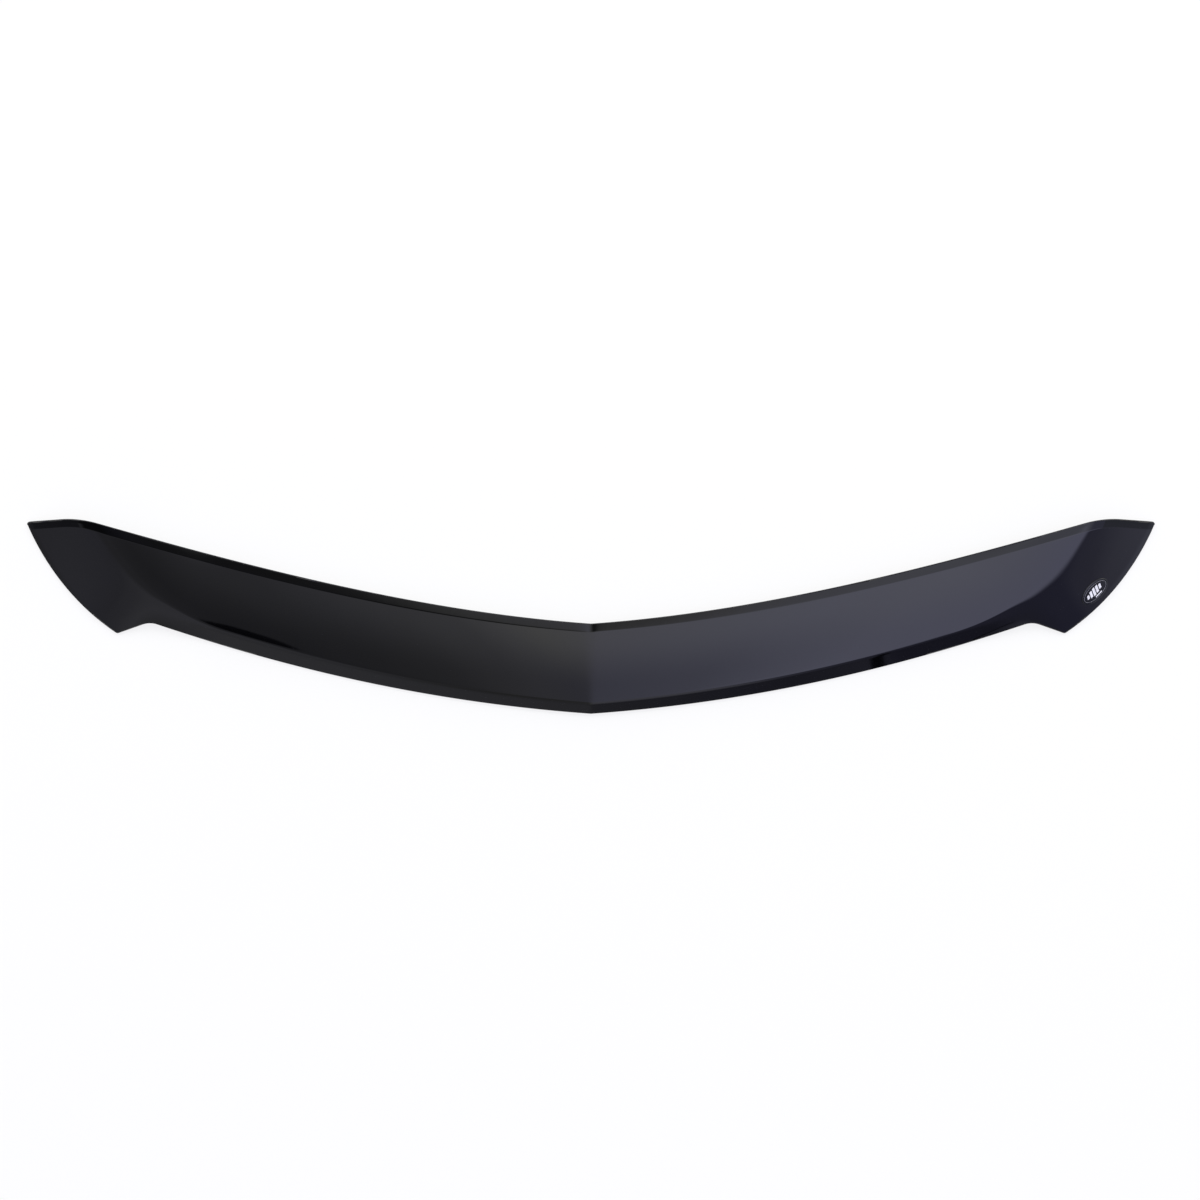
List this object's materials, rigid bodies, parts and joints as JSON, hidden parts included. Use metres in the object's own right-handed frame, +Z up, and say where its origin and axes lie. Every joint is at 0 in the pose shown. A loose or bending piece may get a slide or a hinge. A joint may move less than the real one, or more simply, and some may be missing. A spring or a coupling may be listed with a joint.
{
  "type": "hood protector",
  "caption": "Flush tape-on hood protector: long swept sheet of dark smoked acrylic with a centre ridge, a folded front lip, flared end lobes, a plain oval badge and foam tape behind.",
  "frame": {"origin": "on the surface that the part rests on, at the middle of its box in X and in Y", "axes": "+X across the car, towards the lobe with the badge; -Y towards the nose of the hood; +Z up, away from the hood"},
  "size_m": [1.4608, 0.2524, 0.0326],
  "materials": {
    "smoked_acrylic": "polished, thermoformed dark smoked sheet",
    "badge_plastic": "gloss black, domed",
    "foam_tape": "matt closed-cell foam with a sticky face"
  },
  "bodies": {
    "root": {"shield": "smoked_acrylic", "badge": "badge_plastic", "tape_rear_left": "foam_tape", "tape_rear_right": "foam_tape", "tape_lip_left": "foam_tape", "tape_lip_right": "foam_tape", "tape_lobe_left": "foam_tape", "tape_lobe_right": "foam_tape"}
  },
  "joints": []
}
